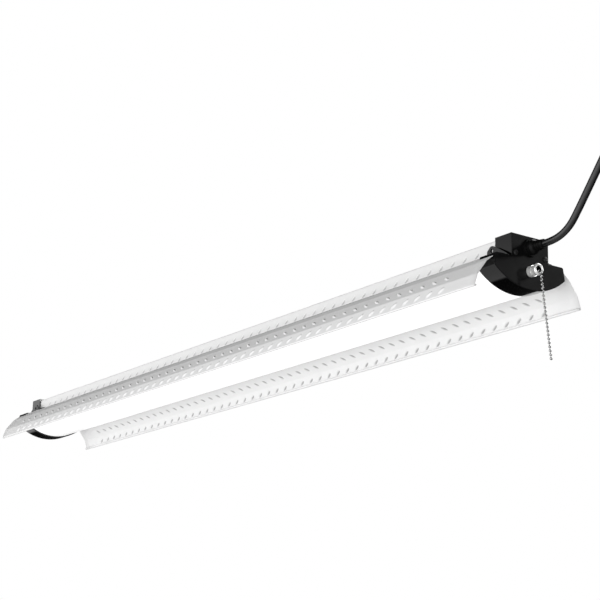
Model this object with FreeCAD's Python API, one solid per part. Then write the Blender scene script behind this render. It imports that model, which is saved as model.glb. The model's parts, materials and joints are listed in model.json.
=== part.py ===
import FreeCAD
import Part
import math
import os

Vector = FreeCAD.Vector

# A hanging shop light, in millimetres. X runs along the light and +X is the end
# with the cord and the pull chain. Y runs across it and Z up. The origin is the
# middle of the four hanging eyes. Every height below is measured up from the
# wings' lower edges, and up() turns it into Z.

# ---- Overall sizes ----
WING_LENGTH = 1180.0
WING_HALF_WIDTH = 78.0
EYE_HEIGHT = 53.0
SHEET = 0.8          # steel of the channel and the tray
WING_SHEET = 0.6     # steel of the wings
SLIP = 0.2           # clearance where one piece slides into another

# ---- End caps: a square box over a wide lamp body with a curved belly ----
CAP_PROUD = 3.0      # how far a cap's face stands past the wings' ends
CAP_DEPTH = 27.0
CAP_WALL = 1.8
CAP_FRONT = 2.2
CAP_EDGE = 0.7       # rounding round the front face
BOX_HALF = 27.0
BOX_RISE = 13.0      # from the gland's middle up to the box's top
SHOULDER_HEIGHT = 43.5
CORNER_Y = 49.0
CORNER_RADIUS = 2.5
TIP_Y = 51.9
TIP_HEIGHT = 28.6
BELLY_HEIGHT = 8.7
CAP_LAP = 18.7       # how far the channel, tray and lens reach into a cap
BOX_FOOT = 6.0       # how far the box runs down into the lamp body

# ---- Channel on top of the lamp body ----
CHANNEL_BEND = 2.0
FOOT_WIDTH = 7.0
FOOT_SETBACK = 4.0   # the feet stop this far short of the caps
FOOT_SCREW_INSET = 15.0
FOOT_SCREW_CLEAR = 0.3  # from the channel's wall to a screw's head

# ---- Tray and lens ----
LIP_WIDTH = 3.0
LIP_JOIN = 0.2       # how far a lip runs into the flared side that it is bent from
LENS_WALL = 1.5
HOOK_LEG = 1.4
HOOK_REACH = 1.2
HOOK_HEIGHT = 1.3

# ---- Wings: a flange, a curved upper panel, a crease, a flat lower panel, a hem ----
FLANGE_INNER_Y = 34.0
MID_Y = 61.0
MID_HEIGHT = 31.6
CREASE_Y = 73.5
CREASE_HEIGHT = 15.0
HEM_RADIUS = 1.5
HEM_TURN = 250.0
RIVETS_PER_WING = 6
RIVET_INSET = 30.0
RIVET_HEAD_R = 2.6
RIVET_CROWN_R = 1.6
RIVET_TAIL_R = 2.1
RIVET_HEAD_H = 1.0
RIVET_R = 1.6

# ---- Hanging eyes, one plate each side of each cap ----
EYE_FROM_FACE = 26.0
EYE_RADIUS = 2.25
EYE_OUTER = 5.5
PLATE_THICKNESS = 2.5
PLATE_STAND_OFF = 3.5  # from the cap's box to the plate, for a hook's wire
JOGGLE_START = 12.0  # from the eye back to where the plate bends out
JOGGLE_END = 6.5
PLATE_TAIL = 27.0    # from the eye to the tail's tip
PLATE_FRONT = 24.5   # from the eye to the front foot
TAIL_WIDTH = 2.6
TAIL_RISE = -2.5     # middle of the tail's tip, from the eye
NECK_BACK = 8.5      # from the eye to the neck between it and the tail
NECK_SWELL = 0.8
HEEL_DROP = 2.2      # the neck's lower edge, below the tail's
HEEL_SETBACK = 0.5
TOE_HEIGHT = 1.2
SLOPE_FRONT = 13.2   # from the eye to where the slope down to the toe begins
SLOPE_DROP = 1.0
EYE_FRONT_ANGLE = 50.0   # where the plate's edges leave the eye's rim
EYE_BACK_ANGLE = 120.0
PAD_RADIUS = 3.0
PAD_BACK = 16.5      # from the eye to the riveted pad
PAD_DROP = 0.4       # the pad's middle, below the tail's
HANGER_RIVET_R = 1.5
HANGER_RIVET_HEAD_R = 2.4
HANGER_RIVET_HEAD = 0.9

# ---- LED boards ----
BOARD_Y = 17.0
BOARD_WIDTH = 16.0
BOARD_THICKNESS = 1.2
BOARD_SHORT = 22.0   # a board's end stops this far inside the tray's end
CHIPS_PER_BOARD = 48
CHIP_LENGTH = 3.5
CHIP_WIDTH = 2.8
CHIP_HEIGHT = 0.8

# ---- Driver inside the channel ----
DRIVER_LENGTH = 150.0
DRIVER_WIDTH = 34.0
DRIVER_FROM_FACE = 130.0
DRIVER_BOARD = 1.6
STANDOFF_RADIUS = 2.5
STANDOFF_HEIGHT = 4.0
STANDOFF_EDGE = 1.5  # from a standoff to the board's edges
INSULATOR_SHEET = 0.5
INSULATOR_GAP = 1.0
INSULATOR_END = 3.0  # past the board's ends
INSULATOR_RISE = 6.0 # its walls, above the board
CORE_LENGTH = 22.0
CORE_DEPTH = 11.0
CORE_CLEAR = 6.1     # from the core's top up to the channel
COIL_LENGTH = 15.4
COIL_CLEAR = 5.1
CAPACITOR_RADIUS = 5.0
CAPACITOR_CLEAR = 7.1
CAPACITOR_INSETS = (25.0, 30.0)  # from the board's far end and near end

# ---- Screws ----
SCREW_R = 1.5
SCREW_HEAD_R = 3.0
SCREW_CROWN_R = 1.8
SCREW_RIM = 0.9      # height of a pan head's straight rim
SCREW_HEAD_H = 1.7
SCREW_BITE = 4.0     # a screw's length past what it holds down
THREAD_FREE = 0.05   # radial room between a nut and its thread
SCREW_FREE = 0.2     # radial room round a screw's shank
CAP_SCREW_Y = 21.8
CAP_SCREW_HEIGHT = 47.3
BOSS_RADIUS = 3.6
BRACKET_SHEET = 1.2
BRACKET_FOOT = 5.0
BRACKET_RISE = 4.0     # from the screws up to the bracket's top
BRACKET_NOTCH = 11.0   # half width of the gap that the wires pass through
BRACKET_SILL = 2.0     # height of the wall left under that gap
FOOT_SCREWS = 4

# ---- Strain relief and cord ----
CORD_DIAMETER = 8.0
GLAND_HEIGHT = 56.5
GLAND_FLANGE_R = 10.5
GLAND_FLANGE = 3.0
GLAND_EDGE = 0.4     # draft of the flange and the dome
GLAND_DOME_R = 8.6
GLAND_DOME = 6.0
GLAND_DOME_WALL = 3.6  # the dome's straight part
GLAND_SHOULDER_R = 6.4
GLAND_LENGTH = 22.0
GLAND_NECK_R = 5.2
GLAND_THREAD_R = 7.0
GLAND_THREAD_END = 1.0  # thread past the nut
GLAND_NUT = 3.0
GLAND_NUT_R = 9.4
GROOVES = 3
GROOVE_START = 2.2   # from the dome
GROOVE_PITCH = 3.2
GROOVE_WIDTH = 1.2
GROOVE_R = 5.7
GROOVE_TAPER = 0.35

# ---- Pull switch ----
SWITCH_HEIGHT = 29.5
SWITCH_BODY = (15.0, 20.0, 17.0)
SWITCH_BODY_CORNER = 2.0
SWITCH_BORE_DEPTH = 11.2
BARREL_R = 4.75
BARREL_BORE = 3.6
BARREL_LENGTH = 8.0  # outside the cap's face
KNURL_R = 6.3
KNURL_LENGTH = 5.6
KNURL_TEETH = 18
KNURL_RIM = 0.9      # plain rim at each end of the notches
KNURL_NOTCH_R = 0.5
KNURL_NOTCH_OUT = 0.25
MOUTH_START = 6.2    # from the cap's face
MOUTH_NECK_R = 5.6
MOUTH_LIP_X = 12.3   # middle of the rolled lip, from the cap's face
LIP_ROLL = 1.6

# ---- Bead chain ----
BEAD_R = 1.6
BEAD_PITCH = 4.5
LINK_R = 0.5
CHAIN_GAP = 0.35     # between a bead and the lip that it hangs over
LINK_GAP = 0.3       # between a link's end and the bead that it hangs from
CHAIN_LEAN = 8.0     # degrees outwards
CHAIN_RISE = 0.6     # the first hanging bead, above the lip's middle
LEAD_BEAD_COUNT = 3
UPPER_BEAD_COUNT = 2
LOWER_BEAD_COUNT = 20

# ---- Plug at the cord's far end ----
PLUG_TAIL = 24.0
PLUG_TAIL_JOIN = 1.0
PLUG_TAIL_WALL = 0.8 # over the cord where the tail begins
PLUG_TAIL_SWELL = 2.4
TAIL_GROOVES = 4
TAIL_GROOVE_START = 4.0
TAIL_GROOVE_PITCH = 4.6
TAIL_GROOVE_WIDTH = 1.6
TAIL_GROOVE_FLOOR = 0.5
PLUG_LENGTH = 34.0
PLUG_WIDTH = 25.0
PLUG_DEPTH = 21.0
PLUG_CORNER = 5.0
PLUG_BACK_BEVEL = 4.0
BLADE_LENGTH = 18.0
BLADE_WIDTH = 6.35
BLADE_THICKNESS = 1.5
BLADE_SPACING = 12.7
BLADE_DROP = 2.5     # the blades' middle, below the plug's
BLADE_BEVEL = 0.4
GROUND_PIN_R = 2.4
GROUND_PIN_OFFSET = 5.9
GROUND_PIN_LENGTH = 20.0
GROUND_PIN_TIP = 2.0
GROUND_PIN_TIP_R = 1.0

# ---- Cords and wires ----
ARC_SHARE = 0.45     # how much of its shorter run each bend takes up
CORD_STEPS = [(0, 0, 0), (12, 0, 0), (26.5, 0, 2.9), (39.5, 0, 9.8), (49.8, 0, 20.6),
              (88.5, 0, 69.5), (113, 0.5, 101.5), (126, 0.5, 124.0), (131, 0.5, 148.0)]
CONDUCTOR_R = 1.3
CONDUCTOR_Y = 2.5    # the live and neutral wires, at the gland
CONDUCTOR_DROP = 1.5 # below the gland's middle
EARTH_DROP = 4.5
DRIVER_WIRE_Y = 6.0
WIRE_STRAIGHT = 30.0 # straight in from the gland
WIRE_RAMP = 14.0     # from the driver's board to where the wires come down to it
WIRE_RISE = 4.5      # above the board there
WIRE_LAP = 8.0       # along the board's top
EARTH_STRAIGHT = 20.0
EARTH_SHORT = 1.0    # the earth wire stops this far before its screw's middle
LEAD_R = 1.0
LEAD_Y = -3.0        # where the switch's leads leave it
LEAD_END_Y = -12.0
LEAD_RUN = 24.0      # along the tray's top
LEAD_LIFT = 0.6      # from the tray up to those leads
WIRE_HOLE_R = 6.0
WIRE_HOLE_BACK = 20.0  # from the tray's end
LED_HOLE_BACK = 25.0   # from the boards' ends
LED_LEAD_LAP = 5.0     # along the driver's board
LED_LEAD_SHORT = 4.0   # the leads stop this far before the LED board's middle
EARTH_SCREW_BACK = 63.0  # from the gland's inner end
EARTH_SCREW_Y = 15.4

# ---- Places worked out from the sizes ----
WING_END_X = WING_LENGTH / 2
FACE_X = WING_END_X + CAP_PROUD
CAP_BACK_X = FACE_X - CAP_DEPTH
BODY_END_X = CAP_BACK_X + CAP_LAP
NEST = CAP_WALL + SLIP                     # from a cap's outside to what it covers
TRAY_TOP = SHOULDER_HEIGHT - NEST
CHANNEL_HALF = BOX_HALF - NEST
BOX_TOP = GLAND_HEIGHT + BOX_RISE
CHANNEL_TOP = BOX_TOP - NEST
DRIVER_BASE = TRAY_TOP + INSULATOR_SHEET + STANDOFF_HEIGHT   # the circuit board's underside
DRIVER_FLOOR = DRIVER_BASE + DRIVER_BOARD                    # and its top
DRIVER_ROOM = CHANNEL_TOP - SHEET - DRIVER_FLOOR
CORE_HEIGHT = DRIVER_ROOM - CORE_CLEAR
COIL_RADIUS = (DRIVER_ROOM - COIL_CLEAR) / 2
CAPACITOR_HEIGHT = DRIVER_ROOM - CAPACITOR_CLEAR
BELLY_DROP = TIP_HEIGHT - BELLY_HEIGHT
BELLY_RADIUS = (TIP_Y ** 2 + BELLY_DROP ** 2) / (2 * BELLY_DROP)
BELLY_CENTRE = BELLY_HEIGHT + BELLY_RADIUS
EYE_X = FACE_X - EYE_FROM_FACE
PLATE_Y = BOX_HALF + PLATE_STAND_OFF
BOARD_END_X = BODY_END_X - BOARD_SHORT
BOARD_TOP = TRAY_TOP - SHEET
FOOT_END_X = CAP_BACK_X - FOOT_SETBACK
WIRE_HOLE_X = BODY_END_X - WIRE_HOLE_BACK
LED_HOLE_X = BOARD_END_X - LED_HOLE_BACK
GLAND_BACK_X = FACE_X - CAP_FRONT - GLAND_NUT - GLAND_THREAD_END
EARTH_SCREW_X = GLAND_BACK_X - EARTH_SCREW_BACK


def up(height):
    """The Z of a height above the wings' lower edges."""
    return height - EYE_HEIGHT


def place(x, y, height):
    """A point from its X, its Y and its height."""
    return Vector(x, y, up(height))


def save(name, *solids):
    """Writes one node; several solids go into it as a group."""
    shape = solids[0] if len(solids) == 1 else Part.makeCompound(list(solids))
    for solid in shape.Solids:
        if not solid.isValid() or solid.Volume <= 0:
            raise ValueError(name + " is not a sound solid")
    shape.exportStep("parts/" + name + ".step")


def far_end(shape):
    """The same piece at the far end of the light."""
    return shape.mirror(Vector(0, 0, 0), Vector(1, 0, 0))


def other_side(shape):
    """The same piece on the other side of the light, at -Y for one at +Y."""
    return shape.mirror(Vector(0, 0, 0), Vector(0, 1, 0))


def box(x0, x1, y0, y1, low, high):
    """A block between two heights."""
    return Part.makeBox(x1 - x0, y1 - y0, high - low, place(x0, y0, low))


def rod(x0, x1, y, height, radius):
    """A round bar along X."""
    return Part.makeCylinder(radius, x1 - x0, place(x0, y, height), Vector(1, 0, 0))


def post(x, y, low, high, radius):
    """A round bar along Z."""
    return Part.makeCylinder(radius, high - low, place(x, y, low), Vector(0, 0, 1))


def turned(profile, start, direction):
    """A solid of revolution from (distance, radius) pairs along an axis."""
    pairs = [(profile[0][0], 0.0)] + profile + [(profile[-1][0], 0.0)]
    points = [Vector(along, radius, 0) for along, radius in pairs]
    face = Part.Face(Part.makePolygon(points + [points[0]]))
    solid = face.revolve(Vector(0, 0, 0), Vector(1, 0, 0), 360)
    turn = FreeCAD.Rotation(Vector(1, 0, 0), direction)
    solid.Placement = FreeCAD.Placement(start, turn)
    return solid


def hexagon(x0, x1, height, radius):
    """A hexagonal nut blank along X, its corners at the radius."""
    angles = [math.radians(60 * i) for i in range(7)]
    ring = [place(x0, radius * math.cos(a), height + radius * math.sin(a)) for a in angles]
    return Part.Face(Part.makePolygon(ring)).extrude(Vector(x1 - x0, 0, 0))


# ---- The lamp body's outline, which caps, tray and lens share ----

def side_point(inset, along):
    """A point on the flared side, moved in by inset, at a height along it."""
    run = (TIP_Y - CORNER_Y) / (SHOULDER_HEIGHT - TIP_HEIGHT)
    shift = inset * math.sqrt(1 + run ** 2)
    return TIP_Y - shift - run * (along - TIP_HEIGHT)


def lamp_tip(inset):
    """Where the inset side meets the inset belly arc."""
    radius = BELLY_RADIUS - inset
    run = (TIP_Y - CORNER_Y) / (SHOULDER_HEIGHT - TIP_HEIGHT)
    y_at_centre = side_point(inset, BELLY_CENTRE)
    # (y_at_centre + run * drop)^2 + drop^2 = radius^2, drop measured below the centre
    a = 1 + run ** 2
    b = 2 * y_at_centre * run
    c = y_at_centre ** 2 - radius ** 2
    drop = (-b + math.sqrt(b ** 2 - 4 * a * c)) / (2 * a)
    return y_at_centre + run * drop, BELLY_CENTRE - drop


def lamp_prism(inset, x0, x1):
    """The lamp body's section, moved in by inset, from x0 to x1."""
    tip_y, tip_height = lamp_tip(inset)
    top = SHOULDER_HEIGHT - inset
    top_y = side_point(inset, top)
    left_tip = place(x0, -tip_y, tip_height)
    left_top = place(x0, -top_y, top)
    right_top = place(x0, top_y, top)
    right_tip = place(x0, tip_y, tip_height)
    belly = place(x0, 0, BELLY_HEIGHT + inset)
    edges = [
        Part.LineSegment(left_tip, left_top).toShape(),
        Part.LineSegment(left_top, right_top).toShape(),
        Part.LineSegment(right_top, right_tip).toShape(),
        Part.Arc(right_tip, belly, left_tip).toShape(),
    ]
    solid = Part.Face(Part.Wire(edges)).extrude(Vector(x1 - x0, 0, 0))
    corners = [
        edge for edge in solid.Edges
        if abs(edge.CenterOfMass.z - up(top)) < 0.01 and edge.Length > 0.9 * (x1 - x0)
        and abs(abs(edge.CenterOfMass.y) - top_y) < 0.01
    ]
    return solid.makeFillet(CORNER_RADIUS - min(inset, CORNER_RADIUS / 2), corners)


# ---- End caps ----

def cap_blank(inset, x0, x1):
    """Box and lamp body together, moved in by inset."""
    half = BOX_HALF - inset
    square = box(x0, x1, -half, half, SHOULDER_HEIGHT - BOX_FOOT, BOX_TOP - inset)
    return square.fuse(lamp_prism(inset, x0, x1)).removeSplitter()


def cap_shell():
    """A moulded cap, open at the back, with screw bosses."""
    outside = cap_blank(0, CAP_BACK_X, FACE_X)
    front = [
        edge for edge in outside.Edges
        if abs(edge.BoundBox.XMin - FACE_X) < 0.01 and abs(edge.BoundBox.XMax - FACE_X) < 0.01
    ]
    outside = outside.makeFillet(CAP_EDGE, front)
    inner_face = FACE_X - CAP_FRONT
    shell = outside.cut(cap_blank(CAP_WALL, CAP_BACK_X, inner_face))
    for side in (-1, 1):
        boss = rod(BODY_END_X + SLIP, inner_face, side * CAP_SCREW_Y, CAP_SCREW_HEIGHT, BOSS_RADIUS)
        shell = shell.fuse(boss)
        hole_r = SCREW_R + SCREW_FREE
        shell = shell.cut(rod(CAP_BACK_X, FACE_X, side * CAP_SCREW_Y, CAP_SCREW_HEIGHT, hole_r))
    return shell.removeSplitter()


def near_cap():
    """The cap with the gland's and the switch's holes."""
    gland_hole = rod(CAP_BACK_X, FACE_X, 0, GLAND_HEIGHT, GLAND_THREAD_R + SLIP)
    switch_hole = rod(CAP_BACK_X, FACE_X, 0, SWITCH_HEIGHT, BARREL_R + SLIP)
    return cap_shell().cut(gland_hole).cut(switch_hole)


def end_bracket():
    """An angle inside the channel's end that takes the cap's two screws."""
    half = CHANNEL_HALF - SHEET - SLIP
    high = CAP_SCREW_HEIGHT + BRACKET_RISE
    plate = box(BODY_END_X - BRACKET_SHEET, BODY_END_X, -half, half, TRAY_TOP, high)
    foot = box(BODY_END_X - BRACKET_FOOT, BODY_END_X, -half, half, TRAY_TOP, TRAY_TOP + BRACKET_SHEET)
    bracket = plate.fuse(foot).removeSplitter()
    hole_r = SCREW_R + SCREW_FREE / 2
    for side in (-1, 1):
        bracket = bracket.cut(rod(CAP_BACK_X, FACE_X, side * CAP_SCREW_Y, CAP_SCREW_HEIGHT, hole_r))
    return bracket.cut(box(CAP_BACK_X, FACE_X, -BRACKET_NOTCH, BRACKET_NOTCH,
                           TRAY_TOP + BRACKET_SHEET + BRACKET_SILL, high))


def pan_screw(head_base, axis, length):
    """A pan-head screw: domed head outwards along the axis, plain shank inwards."""
    head = [(0, SCREW_HEAD_R), (SCREW_RIM, SCREW_HEAD_R), (SCREW_HEAD_H, SCREW_CROWN_R)]
    shank = [(-length, SCREW_R), (0, SCREW_R)]
    return turned(shank + head, head_base, axis)


def cap_screws():
    length = FACE_X - BODY_END_X + SCREW_BITE
    return [
        pan_screw(place(FACE_X, side * CAP_SCREW_Y, CAP_SCREW_HEIGHT), Vector(1, 0, 0), length)
        for side in (-1, 1)
    ]


# ---- Sheet metal ----

def driver_channel():
    """An upside-down U with outward feet that stop short of the caps."""
    outer = box(-BODY_END_X, BODY_END_X, -CHANNEL_HALF, CHANNEL_HALF, TRAY_TOP, CHANNEL_TOP)
    top_edges = [
        edge for edge in outer.Edges
        if edge.Length > BODY_END_X and abs(edge.CenterOfMass.z - up(CHANNEL_TOP)) < 0.01
    ]
    outer = outer.makeFillet(CHANNEL_BEND, top_edges)
    half = CHANNEL_HALF - SHEET
    inner = box(-BODY_END_X, BODY_END_X, -half, half, TRAY_TOP, CHANNEL_TOP - SHEET)
    inner_edges = [
        edge for edge in inner.Edges
        if edge.Length > BODY_END_X and abs(edge.CenterOfMass.z - up(CHANNEL_TOP - SHEET)) < 0.01
    ]
    inner = inner.makeFillet(CHANNEL_BEND - SHEET, inner_edges)
    channel = outer.cut(inner)
    for y0 in (CHANNEL_HALF - SHEET, -CHANNEL_HALF - FOOT_WIDTH + SHEET):
        foot = box(-FOOT_END_X, FOOT_END_X, y0, y0 + FOOT_WIDTH, TRAY_TOP, TRAY_TOP + SHEET)
        channel = channel.fuse(foot)
    channel = channel.removeSplitter()
    for x in foot_screw_places():
        for side in (-1, 1):
            channel = channel.cut(post(x, side * foot_screw_y(), TRAY_TOP, TRAY_TOP + SHEET,
                                       SCREW_R + SCREW_FREE / 2))
    pad_x, pad_height = pad_place()
    for x in (-pad_x, pad_x):
        channel = channel.cut(Part.makeCylinder(HANGER_RIVET_R + SCREW_FREE / 2, 4 * CHANNEL_HALF,
                                                place(x, -2 * CHANNEL_HALF, pad_height),
                                                Vector(0, 1, 0)))
    return channel


def foot_screw_places():
    first = FOOT_SCREW_INSET - FOOT_END_X
    step = -2 * first / (FOOT_SCREWS - 1)
    return [first + step * i for i in range(FOOT_SCREWS)]


def foot_screw_y():
    return CHANNEL_HALF + FOOT_SCREW_CLEAR + SCREW_HEAD_R


def foot_screws():
    """The screws that hold the channel's feet down on the tray."""
    length = 2 * SHEET + SCREW_BITE
    return [
        pan_screw(place(x, side * foot_screw_y(), TRAY_TOP + SHEET), Vector(0, 0, 1), length)
        for x in foot_screw_places() for side in (-1, 1)
    ]


def lip_underside():
    """The tray's lips lie just above the lens's edges."""
    return lamp_tip(NEST)[1] + SLIP


def lamp_tray():
    """The steel tray: a flat top, flared sides and lips that the lens hooks over."""
    low = lip_underside()
    outer = lamp_prism(NEST, -BODY_END_X, BODY_END_X)
    hollow = lamp_prism(NEST + SHEET, -BODY_END_X, BODY_END_X)
    tray = outer.cut(hollow)
    tray = tray.cut(box(-BODY_END_X, BODY_END_X, -TIP_Y, TIP_Y, BELLY_HEIGHT, low))
    wall_y = side_point(NEST + SHEET, low + SHEET)
    lip = box(-BODY_END_X, BODY_END_X, wall_y - LIP_WIDTH, wall_y + LIP_JOIN, low, low + SHEET)
    tray = tray.fuse(lip).fuse(other_side(lip))
    tray = tray.removeSplitter()
    for x in (WIRE_HOLE_X, LED_HOLE_X):
        tray = tray.cut(post(x, 0, BOARD_TOP, TRAY_TOP, WIRE_HOLE_R))
    screw_hole = SCREW_R + SCREW_FREE / 2
    tray = tray.cut(post(EARTH_SCREW_X, EARTH_SCREW_Y, BOARD_TOP, TRAY_TOP, screw_hole))
    for x in foot_screw_places():
        for side in (-1, 1):
            tray = tray.cut(post(x, side * foot_screw_y(), BOARD_TOP, TRAY_TOP, screw_hole))
    for x in rivet_places():
        for side in (-1, 1):
            tray = tray.cut(post(x, side * rivet_y(), BOARD_TOP, TRAY_TOP, RIVET_R + SCREW_FREE / 2))
    return tray


def diffuser_lens():
    """A curved cover with snap legs that hook over the tray's lips."""
    tip_y, tip_height = lamp_tip(NEST)
    band = lamp_prism(NEST, -BODY_END_X, BODY_END_X)
    core_radius = BELLY_RADIUS - NEST - LENS_WALL
    core = rod(-BODY_END_X, BODY_END_X, 0, BELLY_CENTRE, core_radius)
    band = band.cut(box(-BODY_END_X, BODY_END_X, -TIP_Y, TIP_Y, tip_height, SHOULDER_HEIGHT)).cut(core)
    lip_edge = side_point(NEST + SHEET, lip_underside() + SHEET) - LIP_WIDTH
    leg_outer = lip_edge - SLIP
    leg_top = lip_underside() + SHEET + SLIP + HOOK_HEIGHT
    leg_foot = BELLY_CENTRE - math.sqrt((core_radius + LENS_WALL / 2) ** 2 - leg_outer ** 2)
    leg = box(-BODY_END_X, BODY_END_X, leg_outer - HOOK_LEG, leg_outer, leg_foot, leg_top)
    hook = box(-BODY_END_X, BODY_END_X, leg_outer - HOOK_LEG, leg_outer + HOOK_REACH,
               leg_top - HOOK_HEIGHT, leg_top)
    for piece in (leg, hook):
        band = band.fuse(piece).fuse(other_side(piece))
    return band.removeSplitter()


def hem_arc():
    """The hem's centre, and the angle at which the lower panel runs onto it."""
    centre_y = WING_HALF_WIDTH - HEM_RADIUS
    across = centre_y - CREASE_Y
    down = HEM_RADIUS - CREASE_HEIGHT
    heading = math.atan2(down, across) + math.asin(HEM_RADIUS / math.hypot(across, down))
    return centre_y, heading + math.pi / 2


def bend_y():
    """The wing leaves the tray just outside the tray's corner."""
    return side_point(NEST, TRAY_TOP) + SLIP


def wing_line():
    """The wing's outside in section: flange, curved panel, flat panel and rolled hem."""
    top = TRAY_TOP + WING_SHEET
    centre_y, start = hem_arc()
    start_point, middle_point, end_point = [
        place(0, centre_y + HEM_RADIUS * math.cos(a), HEM_RADIUS + HEM_RADIUS * math.sin(a))
        for a in (start, start - math.radians(HEM_TURN / 2), start - math.radians(HEM_TURN))
    ]
    bend = place(0, bend_y(), top)
    crease = place(0, CREASE_Y, CREASE_HEIGHT)
    edges = [
        Part.LineSegment(place(0, FLANGE_INNER_Y, top), bend).toShape(),
        Part.Arc(bend, place(0, MID_Y, MID_HEIGHT), crease).toShape(),
        Part.LineSegment(crease, start_point).toShape(),
        Part.Arc(start_point, middle_point, end_point).toShape(),
    ]
    return Part.Wire(edges)


def wing():
    """The right wing, notched at both ends to clear the caps."""
    section = wing_line().makeOffset2D(WING_SHEET, 0, True, True, False)
    wing_solid = section.extrude(Vector(WING_LENGTH, 0, 0))
    wing_solid.translate(Vector(-WING_END_X, 0, 0))
    notch = box(CAP_BACK_X - SLIP, FACE_X, 0, TIP_Y + SLIP, TIP_HEIGHT, BOX_TOP)
    wing_solid = wing_solid.cut(notch).cut(far_end(notch))
    for x in rivet_places():
        wing_solid = wing_solid.cut(post(x, rivet_y(), TRAY_TOP, TRAY_TOP + 2 * WING_SHEET,
                                         RIVET_R + SCREW_FREE / 2))
    return wing_solid


def rivet_places():
    first = RIVET_INSET - CAP_BACK_X
    step = -2 * first / (RIVETS_PER_WING - 1)
    return [first + step * i for i in range(RIVETS_PER_WING)]


def rivet_y():
    return (FLANGE_INNER_Y + bend_y()) / 2


def wing_rivets():
    """Rivets through one wing's flange and the tray."""
    below = SHEET + WING_SHEET
    profile = [(-below - RIVET_HEAD_H, RIVET_TAIL_R), (-below, RIVET_TAIL_R),
               (-below, RIVET_R), (0, RIVET_R), (0, RIVET_HEAD_R), (RIVET_HEAD_H, RIVET_CROWN_R)]
    return [
        turned(profile, place(x, rivet_y(), TRAY_TOP + WING_SHEET), Vector(0, 0, 1))
        for x in rivet_places()
    ]


# ---- Hanging eyes ----

def joggled_strip():
    """A strip seen from above: flat on the channel, then bent out clear of the cap."""
    inner = [(EYE_X - PLATE_TAIL - TAIL_WIDTH, CHANNEL_HALF), (EYE_X - JOGGLE_START, CHANNEL_HALF),
             (EYE_X - JOGGLE_END, PLATE_Y), (FACE_X, PLATE_Y)]
    line = Part.makePolygon([place(x, y, SHOULDER_HEIGHT) for x, y in inner])
    face = line.makeOffset2D(PLATE_THICKNESS, 2, True, True, False)
    if face.BoundBox.YMin < CHANNEL_HALF - SLIP:
        face = line.makeOffset2D(-PLATE_THICKNESS, 2, True, True, False)
    return face.extrude(Vector(0, 0, BOX_TOP - SHOULDER_HEIGHT))


def on_eye(degrees):
    """The X and height of a point on the eye's rim, by its angle from the front."""
    angle = math.radians(degrees)
    return EYE_X + EYE_OUTER * math.cos(angle), EYE_HEIGHT + EYE_OUTER * math.sin(angle)


def hanger_outline():
    """The hanger seen from the side: a tapered tail, an eye and a gusset to a foot."""
    half = TAIL_WIDTH / 2
    tip_x = EYE_X - PLATE_TAIL + half
    tail_height = EYE_HEIGHT + TAIL_RISE
    front = EYE_X + PLATE_FRONT
    outline = [
        (tip_x, tail_height - half),
        (EYE_X - NECK_BACK, tail_height - half - HEEL_DROP),
        (CAP_BACK_X + HEEL_SETBACK, SHOULDER_HEIGHT),
        (front, SHOULDER_HEIGHT),
        (front, SHOULDER_HEIGHT + TOE_HEIGHT),
        (EYE_X + SLOPE_FRONT, EYE_HEIGHT - SLOPE_DROP),
        on_eye(EYE_FRONT_ANGLE),
        on_eye(EYE_BACK_ANGLE),
        (EYE_X - NECK_BACK, tail_height + half + NECK_SWELL),
        (tip_x, tail_height + half),
    ]
    points = [place(x, 0, height) for x, height in outline]
    web = Part.Face(Part.makePolygon(points + [points[0]])).extrude(Vector(0, 2 * PLATE_Y, 0))
    pad_x, pad_height = pad_place()
    rounds = ((tip_x, tail_height, half), (EYE_X, EYE_HEIGHT, EYE_OUTER),
              (pad_x, pad_height, PAD_RADIUS))
    for x, height, radius in rounds:
        web = web.fuse(across(x, height, radius))
    return web.removeSplitter()


def across(x, height, radius):
    """A round bar along Y from the light's middle to past the hangers."""
    return Part.makeCylinder(radius, 2 * PLATE_Y, place(x, 0, height), Vector(0, 1, 0))


def hanger():
    """The near right hanger: the side outline cut from the joggled strip."""
    pad_x, pad_height = pad_place()
    plate = joggled_strip().common(hanger_outline())
    plate = plate.cut(across(EYE_X, EYE_HEIGHT, EYE_RADIUS))
    return plate.cut(across(pad_x, pad_height, HANGER_RIVET_R + SCREW_FREE / 2)).Solids[0]


def pad_place():
    """The X and height of the rivet through a hanger's tail."""
    return EYE_X - PAD_BACK, EYE_HEIGHT + TAIL_RISE - PAD_DROP


def hanger_rivet():
    """The rivet through the near right hanger's tail and the channel's wall."""
    pad_x, pad_height = pad_place()
    reach = PLATE_THICKNESS + SHEET
    profile = [(-reach - HANGER_RIVET_HEAD, HANGER_RIVET_HEAD_R), (-reach, HANGER_RIVET_HEAD_R),
               (-reach, HANGER_RIVET_R), (0, HANGER_RIVET_R), (0, HANGER_RIVET_HEAD_R),
               (HANGER_RIVET_HEAD, HANGER_RIVET_R)]
    start = place(pad_x, CHANNEL_HALF + PLATE_THICKNESS, pad_height)
    return turned(profile, start, Vector(0, 1, 0))


def four(piece):
    """A near right piece at all four corners."""
    left = other_side(piece)
    return [piece, left, far_end(piece), far_end(left)]


# ---- LED boards ----

def led_board():
    """The right-hand board, flat against the underside of the tray's top."""
    y0 = BOARD_Y - BOARD_WIDTH / 2
    y1 = y0 + BOARD_WIDTH
    return box(-BOARD_END_X, BOARD_END_X, y0, y1, BOARD_TOP - BOARD_THICKNESS, BOARD_TOP)


def led_chips():
    """The right-hand board's chips, facing down."""
    pitch = 2 * BOARD_END_X / CHIPS_PER_BOARD
    y0 = BOARD_Y - CHIP_WIDTH / 2
    top = BOARD_TOP - BOARD_THICKNESS
    first = pitch / 2 - BOARD_END_X - CHIP_LENGTH / 2
    starts = [first + pitch * i for i in range(CHIPS_PER_BOARD)]
    return [box(x, x + CHIP_LENGTH, y0, y0 + CHIP_WIDTH, top - CHIP_HEIGHT, top) for x in starts]


# ---- Driver ----

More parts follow.
